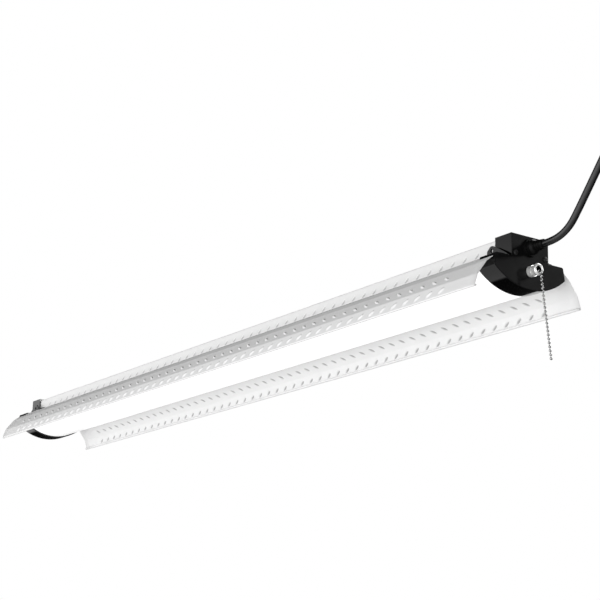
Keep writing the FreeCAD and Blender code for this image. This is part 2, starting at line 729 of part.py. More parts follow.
def driver_span():
    """The far and near X of the driver's board."""
    x1 = FACE_X - DRIVER_FROM_FACE
    return x1 - DRIVER_LENGTH, x1


def driver_insulator():
    """A folded insulating trough under and beside the driver."""
    x0, x1 = driver_span()
    half = DRIVER_WIDTH / 2 + INSULATOR_GAP
    wall = half + INSULATOR_SHEET
    x0 -= INSULATOR_END
    x1 += INSULATOR_END
    high = DRIVER_FLOOR + INSULATOR_RISE
    outer = box(x0, x1, -wall, wall, TRAY_TOP, high)
    return outer.cut(box(x0, x1, -half, half, TRAY_TOP + INSULATOR_SHEET, high))


def standoff_places():
    x0, x1 = driver_span()
    inset = STANDOFF_RADIUS + STANDOFF_EDGE
    return [(x, y) for x in (x0 + inset, x1 - inset)
            for y in (inset - DRIVER_WIDTH / 2, DRIVER_WIDTH / 2 - inset)]


def driver_standoffs():
    low = TRAY_TOP + INSULATOR_SHEET
    return [post(x, y, low, DRIVER_BASE, STANDOFF_RADIUS) for x, y in standoff_places()]


def driver_board():
    x0, x1 = driver_span()
    half = DRIVER_WIDTH / 2
    return box(x0, x1, -half, half, DRIVER_BASE, DRIVER_FLOOR)


def driver_transformer():
    """A square ferrite core round a wound bobbin."""
    x0, x1 = driver_span()
    middle = (x0 + x1) / 2
    low = DRIVER_FLOOR
    core = box(middle - CORE_LENGTH / 2, middle + CORE_LENGTH / 2, -CORE_DEPTH / 2, CORE_DEPTH / 2,
               low, low + CORE_HEIGHT)
    coil = rod(middle - COIL_LENGTH / 2, middle + COIL_LENGTH / 2, 0, low + COIL_RADIUS, COIL_RADIUS)
    return core.fuse(coil).removeSplitter()


def driver_capacitors():
    """Two upright capacitors, one at each end of the driver."""
    x0, x1 = driver_span()
    low = DRIVER_FLOOR
    far_inset, near_inset = CAPACITOR_INSETS
    return [post(x, 0, low, low + CAPACITOR_HEIGHT, CAPACITOR_RADIUS)
            for x in (x0 + far_inset, x1 - near_inset)]


# ---- Strain relief ----

def strain_relief():
    """Flange, dome, tapered tail outside, and a threaded neck through the cap."""
    dome_end = GLAND_FLANGE + GLAND_DOME
    profile = [
        (GLAND_BACK_X - FACE_X, GLAND_THREAD_R), (0, GLAND_THREAD_R), (0, GLAND_FLANGE_R),
        (GLAND_FLANGE, GLAND_FLANGE_R - GLAND_EDGE), (GLAND_FLANGE, GLAND_DOME_R),
        (GLAND_FLANGE + GLAND_DOME_WALL, GLAND_DOME_R - GLAND_EDGE),
        (dome_end, GLAND_SHOULDER_R), (GLAND_LENGTH, GLAND_NECK_R),
    ]
    solid = turned(profile, place(FACE_X, 0, GLAND_HEIGHT), Vector(1, 0, 0))
    for i in range(GROOVES):
        x0 = FACE_X + dome_end + GROOVE_START + GROOVE_PITCH * i
        x1 = x0 + GROOVE_WIDTH
        ring = rod(x0, x1, 0, GLAND_HEIGHT, GLAND_DOME_R)
        floor = rod(x0, x1, 0, GLAND_HEIGHT, GROOVE_R - GROOVE_TAPER * i)
        solid = solid.cut(ring.cut(floor))
    return solid


def strain_relief_nut():
    """The hexagonal locknut inside the cap."""
    x1 = FACE_X - CAP_FRONT
    nut = hexagon(x1 - GLAND_NUT, x1, GLAND_HEIGHT, GLAND_NUT_R)
    return nut.cut(rod(x1 - GLAND_NUT, x1, 0, GLAND_HEIGHT, GLAND_THREAD_R + THREAD_FREE))


# ---- Pull switch ----

def switch_body():
    """The switch's moulded case behind the cap's face."""
    long, wide, tall = SWITCH_BODY
    x1 = FACE_X - CAP_FRONT
    low = SWITCH_HEIGHT - tall / 2
    body = box(x1 - long, x1, -wide / 2, wide / 2, low, low + tall)
    edges = [edge for edge in body.Edges if abs(edge.Length - long) < 0.01]
    body = body.makeFillet(SWITCH_BODY_CORNER, edges)
    return body.cut(rod(x1 - SWITCH_BORE_DEPTH, x1, 0, SWITCH_HEIGHT, BARREL_BORE))


def switch_barrel():
    """The threaded sleeve through the cap, which the chain runs through."""
    x0 = FACE_X - CAP_FRONT
    x1 = FACE_X + BARREL_LENGTH
    sleeve = rod(x0, x1, 0, SWITCH_HEIGHT, BARREL_R)
    return sleeve.cut(rod(x0, x1, 0, SWITCH_HEIGHT, BARREL_BORE))


def switch_nut():
    """The round nut on the cap's face, notched all round its rim."""
    x1 = FACE_X + KNURL_LENGTH
    nut = rod(FACE_X, x1, 0, SWITCH_HEIGHT, KNURL_R)
    for i in range(KNURL_TEETH):
        angle = 2 * math.pi * i / KNURL_TEETH
        y = (KNURL_R + KNURL_NOTCH_OUT) * math.cos(angle)
        height = SWITCH_HEIGHT + (KNURL_R + KNURL_NOTCH_OUT) * math.sin(angle)
        nut = nut.cut(rod(FACE_X + KNURL_RIM, x1 - KNURL_RIM, y, height, KNURL_NOTCH_R))
    return nut.cut(rod(FACE_X, x1, 0, SWITCH_HEIGHT, BARREL_R + THREAD_FREE))


def lip_middle():
    """The radius of the middle of the bell mouth's rolled lip."""
    return BARREL_BORE + LIP_ROLL


def bell_mouth():
    """A flared ring with a rolled lip that the chain slides over."""
    start = MOUTH_START
    lip_r = lip_middle()
    inner = BARREL_R + THREAD_FREE
    lip_x = MOUTH_LIP_X
    throat = BARREL_LENGTH + SLIP
    edges = [
        ((start, inner), (start, MOUTH_NECK_R)),
        ((start, MOUTH_NECK_R), (throat, MOUTH_NECK_R)),
        ((throat, MOUTH_NECK_R), (lip_x, lip_r + LIP_ROLL)),
        ((lip_x, lip_r - LIP_ROLL), (throat, BARREL_BORE)),
        ((throat, BARREL_BORE), (throat, inner)),
        ((throat, inner), (start, inner)),
    ]
    wires = [
        Part.LineSegment(Vector(a[0], a[1], 0), Vector(b[0], b[1], 0)).toShape() for a, b in edges
    ]
    lip = Part.Arc(Vector(lip_x, lip_r + LIP_ROLL, 0), Vector(lip_x + LIP_ROLL, lip_r, 0),
                   Vector(lip_x, lip_r - LIP_ROLL, 0)).toShape()
    outline = Part.Wire(wires[:3] + [lip] + wires[3:])
    solid = Part.Face(outline).revolve(Vector(0, 0, 0), Vector(1, 0, 0), 360)
    solid.translate(place(FACE_X, 0, SWITCH_HEIGHT))
    return solid


# ---- Bead chain ----

def bead_string(first, direction, count, link_before):
    """Beads on a straight stretch, turned in one piece with the links between them."""
    reach = math.sqrt(BEAD_R ** 2 - LINK_R ** 2)
    slant = BEAD_R * math.sin(math.pi / 4)
    half_bead = [(-reach, LINK_R), (-slant, slant), (0, BEAD_R), (slant, slant), (reach, LINK_R)]
    start = BEAD_R + LINK_GAP - BEAD_PITCH if link_before else -reach
    profile = [(start, LINK_R)] if link_before else []
    for i in range(count):
        profile += [(BEAD_PITCH * i + along, radius) for along, radius in half_bead]
    return turned(profile, first, direction)


def chain_start():
    """The first bead outside the mouth, level with the lip's middle."""
    clear = LIP_ROLL + BEAD_R + CHAIN_GAP
    return place(FACE_X + MOUTH_LIP_X + clear, 0, SWITCH_HEIGHT - lip_middle() + CHAIN_RISE)


def chain_direction():
    """Down, leaning away from the cap."""
    lean = math.radians(CHAIN_LEAN)
    return Vector(math.sin(lean), 0, -math.cos(lean))


def chain_lead():
    """The beads inside the sleeve, the last one on top of the lip."""
    height = SWITCH_HEIGHT - BARREL_BORE + BEAD_R + CHAIN_GAP
    first = place(FACE_X + MOUTH_LIP_X, 0, height)
    return bead_string(first, Vector(-1, 0, 0), LEAD_BEAD_COUNT, False)


def chain_knuckle():
    """The bead that turns the corner below the lip."""
    return bead_string(chain_start(), chain_direction(), 1, False)


def chain_upper():
    """The short stretch that swings away from the cap and back."""
    first = chain_start() + chain_direction() * BEAD_PITCH
    return bead_string(first, chain_direction(), UPPER_BEAD_COUNT, True)


def chain_lower():
    """The long stretch, which swings sideways."""
    first = chain_start() + chain_direction() * (BEAD_PITCH * (1 + UPPER_BEAD_COUNT))
    return bead_string(first, chain_direction(), LOWER_BEAD_COUNT, True)


# ---- Tubes: straight runs joined by tangent arcs ----

def bent_tube(name, points, radius):
    """A round tube along a route; each arc is as large as its two runs allow."""
    edges = []
    radii = []
    start = points[0]
    for before, corner, after in zip(points, points[1:], points[2:]):
        into = corner - before
        out = after - corner
        turn = into.getAngle(out)
        arc_radius = ARC_SHARE * min(into.Length, out.Length) / math.tan(turn / 2)
        radii.append(arc_radius)
        cut = arc_radius * math.tan(turn / 2)
        into.normalize()
        out.normalize()
        first = corner - into * cut
        last = corner + out * cut
        inwards = (out - into).normalize()
        sag = arc_radius * (1 / math.cos(turn / 2) - 1)
        edges.append(Part.LineSegment(start, first).toShape())
        edges.append(Part.Arc(first, corner + inwards * sag, last).toShape())
        start = last
    edges.append(Part.LineSegment(start, points[-1]).toShape())
    path = Part.Wire(edges)
    ring = Part.Wire(Part.makeCircle(radius, points[0], points[1] - points[0]))
    tube = path.makePipeShell([ring], True, False)
    expected = math.pi * radius ** 2 * path.Length
    print(name, "length %.1f, least radius %.1f, volume / expected %.4f"
          % (path.Length, min(radii), tube.Volume / expected))
    return tube


def cord_route():
    """The cord's points: out of the gland, up in a bend, straight up, then upright."""
    start = place(FACE_X + GLAND_LENGTH, 0, GLAND_HEIGHT)
    return [start + Vector(*step) for step in CORD_STEPS]


def power_cord():
    return bent_tube("power_cord", cord_route(), CORD_DIAMETER / 2)


# ---- Plug, set on the cord's last point ----

def plug_turn():
    """The turn from X to the way in which the cord ends."""
    route = cord_route()
    return FreeCAD.Rotation(Vector(1, 0, 0), route[-1] - route[-2])


def on_plug(shape):
    """Moves a piece drawn along X from the cord's end into place."""
    turn = plug_turn()
    drawn_at = shape.Placement.Base
    shape.Placement = FreeCAD.Placement(cord_route()[-1] + turn.multVec(drawn_at), turn)
    return shape


def tail_groove(x, radius):
    """The ring cut from the plug's tail at a place, down to a radius."""
    start = Vector(x, 0, 0)
    ring = Part.makeCylinder(PLUG_DEPTH, TAIL_GROOVE_WIDTH, start, Vector(1, 0, 0))
    return ring.cut(Part.makeCylinder(radius, TAIL_GROOVE_WIDTH, start, Vector(1, 0, 0)))


def plug_body():
    """A moulded plug with a tapered, ribbed tail."""
    cord_r = CORD_DIAMETER / 2
    first_r = cord_r + PLUG_TAIL_WALL
    tail = turned([(0, first_r), (PLUG_TAIL + PLUG_TAIL_JOIN, first_r + PLUG_TAIL_SWELL)],
                  Vector(0, 0, 0), Vector(1, 0, 0))
    for i in range(TAIL_GROOVES):
        x = TAIL_GROOVE_START + TAIL_GROOVE_PITCH * i
        radius = cord_r + TAIL_GROOVE_FLOOR + PLUG_TAIL_SWELL * x / PLUG_TAIL
        tail = tail.cut(tail_groove(x, radius))
    body = Part.makeBox(PLUG_LENGTH, PLUG_WIDTH, PLUG_DEPTH,
                        Vector(PLUG_TAIL, -PLUG_WIDTH / 2, -PLUG_DEPTH / 2))
    long_edges = [edge for edge in body.Edges if abs(edge.Length - PLUG_LENGTH) < 0.01]
    body = body.makeFillet(PLUG_CORNER, long_edges)
    back_edges = [edge for edge in body.Edges if edge.BoundBox.XMax < PLUG_TAIL + 0.01]
    body = body.makeChamfer(PLUG_BACK_BEVEL, back_edges)
    return on_plug(body.fuse(tail).removeSplitter())


def plug_blade(side):
    """One flat blade, bevelled at its tip."""
    x0 = PLUG_TAIL + PLUG_LENGTH
    x1 = x0 + BLADE_LENGTH
    y = (side * BLADE_SPACING - BLADE_THICKNESS) / 2
    blade = Part.makeBox(BLADE_LENGTH, BLADE_THICKNESS, BLADE_WIDTH,
                         Vector(x0, y, -BLADE_WIDTH / 2 - BLADE_DROP))
    tip = [edge for edge in blade.Edges
           if edge.BoundBox.XMin > x1 - 0.01 and abs(edge.Length - BLADE_WIDTH) < 0.01]
    return on_plug(blade.makeChamfer(BLADE_BEVEL, tip))


def plug_pin():
    """The round earth pin with a tapered tip."""
    straight = GROUND_PIN_LENGTH - GROUND_PIN_TIP
    profile = [(0, GROUND_PIN_R), (straight, GROUND_PIN_R), (GROUND_PIN_LENGTH, GROUND_PIN_TIP_R)]
    base = Vector(PLUG_TAIL + PLUG_LENGTH, 0, GROUND_PIN_OFFSET)
    return on_plug(turned(profile, base, Vector(1, 0, 0)))


# ---- Wires inside ----

def driver_wire(name, side):
    """From the gland along the channel to one side of the driver's near edge."""
    x_driver = driver_span()[1]
    start = place(GLAND_BACK_X, side * CONDUCTOR_Y, GLAND_HEIGHT - CONDUCTOR_DROP)
    points = [start, start - Vector(WIRE_STRAIGHT, 0, 0),
              place(x_driver + WIRE_RAMP, side * DRIVER_WIRE_Y, DRIVER_FLOOR + WIRE_RISE),
              place(x_driver - WIRE_LAP, side * DRIVER_WIRE_Y, DRIVER_FLOOR + CONDUCTOR_R + SLIP)]
    return bent_tube(name, points, CONDUCTOR_R)


def earth_wire():
    """From the gland down onto the screw on the tray."""
    on_screw = TRAY_TOP + SCREW_HEAD_H + CONDUCTOR_R + SLIP
    start = place(GLAND_BACK_X, 0, GLAND_HEIGHT - EARTH_DROP)
    points = [start, start - Vector(EARTH_STRAIGHT, 0, 0),
              place(EARTH_SCREW_X + EARTH_STRAIGHT, EARTH_SCREW_Y, on_screw),
              place(EARTH_SCREW_X + EARTH_SHORT, EARTH_SCREW_Y, on_screw)]
    return bent_tube("wire_earth", points, CONDUCTOR_R)


def switch_leads():
    """From the switch's back, up through the tray and along its top."""
    back = FACE_X - CAP_FRONT - SWITCH_BODY[0]
    low = TRAY_TOP + LEAD_R + LEAD_LIFT
    points = [place(back, LEAD_Y, SWITCH_HEIGHT), place(WIRE_HOLE_X, LEAD_Y, SWITCH_HEIGHT),
              place(WIRE_HOLE_X, LEAD_Y, low), place(WIRE_HOLE_X - LEAD_RUN, LEAD_END_Y, low)]
    return bent_tube("switch_leads", points, LEAD_R)


def led_leads():
    """From the driver down through the tray to the right-hand board's underside."""
    high = DRIVER_FLOOR + LEAD_R + SLIP
    low = BOARD_TOP - BOARD_THICKNESS - LEAD_R - SLIP
    points = [place(driver_span()[1] - LED_LEAD_LAP, 0, high), place(LED_HOLE_X, 0, high),
              place(LED_HOLE_X, 0, low), place(LED_HOLE_X, BOARD_Y - LED_LEAD_SHORT, low)]
    return bent_tube("led_leads", points, LEAD_R)


def earth_screw():
    """The screw that bonds the earth wire to the tray."""
    return pan_screw(place(EARTH_SCREW_X, EARTH_SCREW_Y, TRAY_TOP), Vector(0, 0, 1), SHEET)


def main():
    os.makedirs("parts", exist_ok=True)
    save("driver_channel", driver_channel())
    save("lamp_tray", lamp_tray())
    save("diffuser_lens", diffuser_lens())
    right_wing = wing()
    save("wing_right", right_wing)
    save("wing_left", other_side(right_wing))
    rivets = wing_rivets()
    save("wing_rivets", *rivets, *[other_side(rivet) for rivet in rivets])
    save("channel_screws", *foot_screws())

    save("end_cap_near", near_cap())
    save("end_cap_far", far_end(cap_shell()))
    bracket = end_bracket()
    save("end_bracket_near", bracket)
    save("end_bracket_far", far_end(bracket))
    screws = cap_screws()
    save("cap_screws_near", *screws)
    save("cap_screws_far", *[far_end(screw) for screw in screws])

    corners = ("near_right", "near_left", "far_right", "far_left")
    for corner, plate in zip(corners, four(hanger())):
        save("hanger_" + corner, plate)
    save("hanger_rivets", *four(hanger_rivet()))

    board = led_board()
    save("led_board_right", board)
    save("led_board_left", other_side(board))
    chips = led_chips()
    save("led_chips_right", *chips)
    save("led_chips_left", *[other_side(chip) for chip in chips])

    save("driver_insulator", driver_insulator())
    save("driver_standoffs", *driver_standoffs())
    save("driver_board", driver_board())
    save("driver_transformer", driver_transformer())
    save("driver_capacitors", *driver_capacitors())
    save("wire_live", driver_wire("wire_live", 1))
    save("wire_neutral", driver_wire("wire_neutral", -1))
    save("wire_earth", earth_wire())
    save("switch_leads", switch_leads())
    save("led_leads", led_leads())
    save("earth_screw", earth_screw())

    save("strain_relief", strain_relief())
    save("strain_relief_nut", strain_relief_nut())
    save("power_cord", power_cord())
    save("plug_body", plug_body())
    save("plug_blades", plug_blade(-1), plug_blade(1), plug_pin())

    save("switch_body", switch_body())
    save("switch_barrel", switch_barrel())
    save("switch_nut", switch_nut())
    save("bell_mouth", bell_mouth())
    save("chain_lead", chain_lead())
    save("chain_knuckle", chain_knuckle())
    save("chain_upper", chain_upper())
    save("chain_lower", chain_lower())


main()
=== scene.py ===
# %% [markdown]
# # A hanging shop light
# The finished parts of the light come in as a fixed frame, and this script dresses them:
# it stamps the sheet metal, makes the bead chain and the cord, and gives every piece its
# material. X runs along the light to the end with the cord, Y across it and Z up. All
# lengths are metres, and the origin is the middle of the four hanging eyes.

# %% Load the frame
import json
import math

import bpy
import numpy as np
from mathutils import Matrix, Vector


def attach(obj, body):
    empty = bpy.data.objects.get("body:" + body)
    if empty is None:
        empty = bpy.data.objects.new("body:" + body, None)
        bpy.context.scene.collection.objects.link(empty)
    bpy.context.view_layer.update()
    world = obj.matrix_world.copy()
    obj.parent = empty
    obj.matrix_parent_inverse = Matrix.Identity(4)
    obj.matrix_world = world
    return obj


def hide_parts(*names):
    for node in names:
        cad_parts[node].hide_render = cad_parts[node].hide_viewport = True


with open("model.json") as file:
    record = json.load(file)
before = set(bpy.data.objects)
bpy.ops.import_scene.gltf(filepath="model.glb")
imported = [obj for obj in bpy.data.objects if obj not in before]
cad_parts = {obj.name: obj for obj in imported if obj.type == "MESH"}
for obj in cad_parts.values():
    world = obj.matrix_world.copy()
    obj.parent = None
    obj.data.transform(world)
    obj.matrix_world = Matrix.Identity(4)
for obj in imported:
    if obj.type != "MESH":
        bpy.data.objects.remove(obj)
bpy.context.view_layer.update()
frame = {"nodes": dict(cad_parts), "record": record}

NODES = frame["nodes"]

# %% [markdown]
# ## The camera
# The photograph looks up at the light from below its near end. A camera could be placed by
# eye and nudged until it seems right, but then every later comparison would carry its
# error. So its place, tilt, turn and slight roll were worked out once, from the edges of
# the light in the photograph, and stand here as numbers.

# %% Camera
IMAGE_PX = 600
FOCAL_PX = 1590.8
SENSOR_MM = 36.0
NEAREST_SEEN = 0.05
FARTHEST_SEEN = 50.0
CAMERA_AT = Vector((1.8189, -1.1465, -0.5245))
TURN = math.radians(55.494)   # round Z, from straight across the light
TILT = math.radians(-15.562)  # under the horizontal
ROLL = math.radians(1.515)    # about the line of sight


def add_object(name, data):
    """Puts new data into the scene as an object."""
    thing = bpy.data.objects.new(name, data)
    bpy.context.scene.collection.objects.link(thing)
    return thing


def make_camera():
    """Adds the camera: turned round Z, tilted, then rolled about its own line of sight."""
    back = Vector((math.sin(TURN) * math.cos(TILT), -math.cos(TURN) * math.cos(TILT),
                   math.sin(TILT)))
    right = Vector((0, 0, 1)).cross(back).normalized()
    up = back.cross(right)
    rolled_right = math.cos(ROLL) * right + math.sin(ROLL) * up
    rolled_up = math.cos(ROLL) * up - math.sin(ROLL) * right
    data = bpy.data.cameras.new("camera")
    data.sensor_width = SENSOR_MM
    data.lens = FOCAL_PX / IMAGE_PX * SENSOR_MM
    data.clip_start = NEAREST_SEEN
    data.clip_end = FARTHEST_SEEN
    camera = add_object("camera", data)
    turn = Matrix((rolled_right, rolled_up, back)).transposed().to_4x4()
    camera.matrix_world = Matrix.Translation(CAMERA_AT) @ turn
    bpy.context.scene.camera = camera
    return camera


camera = make_camera()
print("camera lens:", round(camera.data.lens, 2), "mm")

# %% [markdown]
# ## The power cord
# The real cord is a round flexible cable. It leaves the gland straight, bends up and rises
# out of the view, where something outside the picture holds it taut. It could be a mesh
# swept along a path, but a curve with a round bevel is as smooth and stays easy to change.
# The points of its route are listed one by one, and a spline of order 3 follows them.

# %% Cord
CORD_START = Vector((0.615, 0.0, 0.0035))     # where it leaves the gland
CORD_ROUTE = [
    (0, 0, 0), (0.012, 0, 0), (0.0265, 0, 0.0029), (0.0395, 0, 0.0098), (0.0498, 0, 0.0206),
    (0.0885, 0, 0.0695), (0.113, 0.0005, 0.1015), (0.126, 0.0005, 0.124), (0.131, 0.0005, 0.148),
]
CORD_ORDER = 3
CORD_DIAMETER = 0.008
CORD_ROUND_RESOLUTION = 7
CORD_LENGTH_RESOLUTION = 20


def make_cord():
    """A round tube along a smooth spline that follows the cord's route.

    The bevel is 1 m deep and each point's radius scales it down to the cord's own, so that
    the curve's box, which takes in those radii, is the cord's box.
    """
    data = bpy.data.curves.new("cord", "CURVE")
    data.dimensions = "3D"
    data.bevel_depth = 1.0
    data.bevel_resolution = CORD_ROUND_RESOLUTION
    data.resolution_u = CORD_LENGTH_RESOLUTION
    data.use_fill_caps = True
    spline = data.splines.new("NURBS")
    spline.points.add(len(CORD_ROUTE) - 1)
    for point, step in zip(spline.points, CORD_ROUTE):
        point.co = (*(CORD_START + Vector(step)), 1.0)
        point.radius = CORD_DIAMETER / 2
    spline.order_u = CORD_ORDER
    spline.use_endpoint_u = True
    cord = add_object("cord", data)
    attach(cord, "light")
    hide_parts("power_cord")
    return cord


cord = make_cord()
print("cord points:", len(CORD_ROUTE))

# %% [markdown]
# ## Materials
# The light is painted and plated metal, moulded plastic, rubber and an opal lens. Pictures
# of such surfaces could be wrapped round the pieces, but noise needs no unwrapping and has
# no seams. So every material is a principled shader in which noise, read at the place on
# the object, shades the colour and the gloss a little and can add a fine bump.
#
# A material is a small network of nodes: each works out one thing and hands it on. The
# helpers add one node each, and take plain values and other nodes' outputs alike.

# %% Plain finishes
WHITE = (1.0, 1.0, 1.0, 1.0)
MIX_FACTOR, MIX_FIRST, MIX_SECOND, MIX_RESULT = 0, 6, 7, 2    # a mix node's colour sockets
NOISE_LOW = 0.3               # nearly all of a noise's values lie between these two
NOISE_HIGH = 0.7
MOTTLE_DETAIL = 3.0
GLOSS_DETAIL = 4.0
GLOSS_FINENESS = 3            # the gloss changes this many times as fast as the colour
GRAIN_DETAIL = 2.0
GRAIN_HEIGHT = 0.0002


def feed(tree, socket, value):
    """Links a socket to another node's output, or sets its plain value."""
    if isinstance(value, bpy.types.NodeSocket):
        tree.links.new(value, socket)
    else:
        socket.default_value = value


def add_node(tree, kind, **inputs):
    """Adds a node and feeds its inputs by name."""
    node = tree.nodes.new(kind)
    for name, value in inputs.items():
        feed(tree, node.inputs[name.replace("_", " ")], value)
    return node


def object_place(tree):
    """The place on the object, in the object's own coordinates."""
    return tree.nodes.new("ShaderNodeTexCoord").outputs["Object"]


def noise(tree, place, scale, detail):
    """A cloudy pattern of values between 0 and 1."""
    node = add_node(tree, "ShaderNodeTexNoise", Vector=place, Scale=scale, Detail=detail)
    return node.outputs["Fac"]


def ranged(tree, value, low, high, from_low=NOISE_LOW, from_high=NOISE_HIGH):
    """Goes from low to high as the value goes from from_low to from_high, and no further."""
    node = add_node(tree, "ShaderNodeMapRange", Value=value, From_Min=from_low,
                    From_Max=from_high, To_Min=low, To_Max=high)
    return node.outputs["Result"]


def mixed(tree, factor, first, second):
    """The first colour where the factor is 0, and the second where it is 1."""
    mix = tree.nodes.new("ShaderNodeMix")
    mix.data_type = "RGBA"
    for index, value in ((MIX_FACTOR, factor), (MIX_FIRST, first), (MIX_SECOND, second)):
        feed(tree, mix.inputs[index], value)
    return mix.outputs[MIX_RESULT]


def opened(material):
    """A material's node tree and its shader."""
    return material.node_tree, material.node_tree.nodes["Principled BSDF"]


def new_material(name, colour, roughness, metallic=0.0, mottle=0.05, mottle_scale=40.0,
                 rough_spread=0.05, bump=0.0, bump_scale=900.0, **sockets):
    """A principled material with gentle changes of colour, gloss and surface height.

    The colour runs from itself times one minus mottle to itself times one plus mottle, and
    the roughness as far as rough_spread to either side.
    """
    material = bpy.data.materials.new(name)
    material.use_nodes = True
    tree, shader = opened(material)
    place = object_place(tree)
    blotches = ranged(tree, noise(tree, place, mottle_scale, MOTTLE_DETAIL), 0.0, 1.0)
    darker = (*[c * (1 - mottle) for c in colour], 1.0)
    lighter = (*[min(1.0, c * (1 + mottle)) for c in colour], 1.0)
    feed(tree, shader.inputs["Base Color"], mixed(tree, blotches, darker, lighter))
    handling = noise(tree, place, mottle_scale * GLOSS_FINENESS, GLOSS_DETAIL)
    gloss = ranged(tree, handling, roughness - rough_spread, roughness + rough_spread)
    feed(tree, shader.inputs["Roughness"], gloss)
    shader.inputs["Metallic"].default_value = metallic
    if bump:
        grain = noise(tree, place, bump_scale, GRAIN_DETAIL)
        relief = add_node(tree, "ShaderNodeBump", Height=grain, Strength=bump,
                          Distance=GRAIN_HEIGHT)
        feed(tree, shader.inputs["Normal"], relief.outputs["Normal"])
    for socket, value in sockets.items():
        shader.inputs[socket.replace("_", " ")].default_value = value
    return material


MATERIALS = {
    # The lens glows faintly with painted light, which keeps it white and brightens the insides
    # of the wings.
    "opal_lens": new_material("opal_lens", (0.92, 0.92, 0.92), 0.30, mottle=0.01,
                              Emission_Color=WHITE, Emission_Strength=0.62),
    "black_hanger": new_material("black_hanger", (0.007, 0.007, 0.0075), 0.32, mottle=0.15,
                                 bump=0.15),
    "steel": new_material("steel", (0.55, 0.55, 0.56), 0.34, metallic=1.0, mottle=0.06),
    "black_screw": new_material("black_screw", (0.004, 0.004, 0.004), 0.60, mottle=0.1),
    "bead_nickel": new_material("bead_nickel", (0.40, 0.40, 0.40), 0.12, metallic=1.0,
                                mottle=0.05, mottle_scale=300.0),
    "brass": new_material("brass", (0.75, 0.58, 0.30), 0.28, metallic=1.0),
    "cord_rubber": new_material("cord_rubber", (0.006, 0.006, 0.0065), 0.27, mottle=0.2,
                                bump=0.1, bump_scale=1500.0),
    "board_white": new_material("board_white", (0.80, 0.80, 0.78), 0.45),
    "board_green": new_material("board_green", (0.03, 0.20, 0.08), 0.40, mottle=0.15),
    "chip_yellow": new_material("chip_yellow", (0.85, 0.66, 0.12), 0.35),
    "insulator_plastic": new_material("insulator_plastic", (0.60, 0.59, 0.55), 0.60),
    "ferrite": new_material("ferrite", (0.03, 0.03, 0.032), 0.55, mottle=0.2),
    "capacitor_sleeve": new_material("capacitor_sleeve", (0.02, 0.03, 0.09), 0.30),
    "wire_black": new_material("wire_black", (0.01, 0.01, 0.01), 0.45),
    "wire_white": new_material("wire_white", (0.78, 0.78, 0.77), 0.45),
    "wire_green": new_material("wire_green", (0.03, 0.22, 0.05), 0.45),
}
print("plain finishes:", len(MATERIALS))

# %% [markdown]
# ### White paint
# The wings and the channel are painted steel with lozenges stamped into it. Under soft
# light dents this shallow hardly show, so more lamps could be set up to rake across them,
# at the cost of hard shadows elsewhere. Instead shade is painted into the dents, as grey
# mixed into the paint. How deep each point lies in one comes with the mesh, as an attribute
# named "pressed".

# %% White paint
# painted shade: the grey mixed into the paint in the stamped dents
DENT_SHADE = (0.38, 0.38, 0.38, 1.0)
DENT_FULL = 0.8               # the painted shade is darkest from this share of the full depth on


def linked_to(socket):
    """The output that a socket is linked to."""
    return socket.links[0].from_socket


def shaded_dents(material):
    """Paints shade into the dents: mixes grey into the paint as a dent's depth goes from nothing
    to DENT_FULL.
    """
    tree, shader = opened(material)
    pressed = tree.nodes.new("ShaderNodeAttribute")
    pressed.attribute_name = "pressed"
    depth = ranged(tree, pressed.outputs["Fac"], 0.0, 1.0, 0.0, DENT_FULL)
    base = shader.inputs["Base Color"]
    feed(tree, base, mixed(tree, depth, linked_to(base), DENT_SHADE))
    return material


MATERIALS["white_paint"] = shaded_dents(new_material(
    "white_paint", (0.77, 0.77, 0.77), 0.42, mottle=0.012, bump=0.08, bump_scale=700.0))
print("added:", MATERIALS["white_paint"].name)

# %% [markdown]
# ### Black plastic
# The end caps are moulded in black plastic, polished on their sides and matt on their flat
# fronts. Two materials would need the cap's faces sorted into two sets. One material that
# looks at its own place along the light does without: from the fronts on it is matt.

# %% Black plastic
MATT_FROM_X = 0.5923          # the caps' flat fronts lie just past these two
MATT_FULL_X = 0.5925
MATT_ROUGHER = 0.42           # added to the polish's own roughness
POLISHED_SPECULAR = 0.45
MATT_SPECULAR = 0.15


def operate(tree, kind, operation, values):
    """Adds a node that does one operation on the values, and gives its outputs."""
    node = tree.nodes.new(kind)
    node.operation = operation
    for socket, value in zip(node.inputs, values):
        feed(tree, socket, value)
    return node.outputs


def maths(tree, operation, *values):
    """A number worked out from one or two others."""
    return operate(tree, "ShaderNodeMath", operation, values)[0]


def matt_front(material):
    """Makes a polished material matt as the distance from X = 0 passes MATT_FULL_X."""
    tree, shader = opened(material)
    split = add_node(tree, "ShaderNodeSeparateXYZ", Vector=object_place(tree))
    along = maths(tree, "ABSOLUTE", split.outputs["X"])
    front = ranged(tree, along, 0.0, 1.0, MATT_FROM_X, MATT_FULL_X)
    rougher = maths(tree, "ADD", ranged(tree, front, 0.0, MATT_ROUGHER, 0.0, 1.0),
                    linked_to(shader.inputs["Roughness"]))
    feed(tree, shader.inputs["Roughness"], rougher)
    specular = ranged(tree, front, POLISHED_SPECULAR, MATT_SPECULAR, 0.0, 1.0)
    feed(tree, shader.inputs["Specular IOR Level"], specular)
    return material


MATERIALS["black_plastic"] = matt_front(new_material(
    "black_plastic", (0.0018, 0.0018, 0.0019), 0.06, mottle=0.15, rough_spread=0.02))
print("added:", MATERIALS["black_plastic"].name)

# %% [markdown]
# ### Nickel
# The pull switch's sleeve, nut and flared mouth are nickel-plated, and their bore lies in
# shade. The bore's faces could be picked out by hand, but the switch is round: a point lies
# in its bore when it is nearer to the middle line than the bore's radius. So the material
# measures that distance, paints the shade as black within it, and shows the nickel beyond.

# %% Nickel
SWITCH_Z = -0.0235            # the switch's middle line runs along X at this height
BORE_DARK_R = 0.0037          # painted shade this far from that line, and plain nickel from the next on
BORE_UNSHADED_R = 0.0040
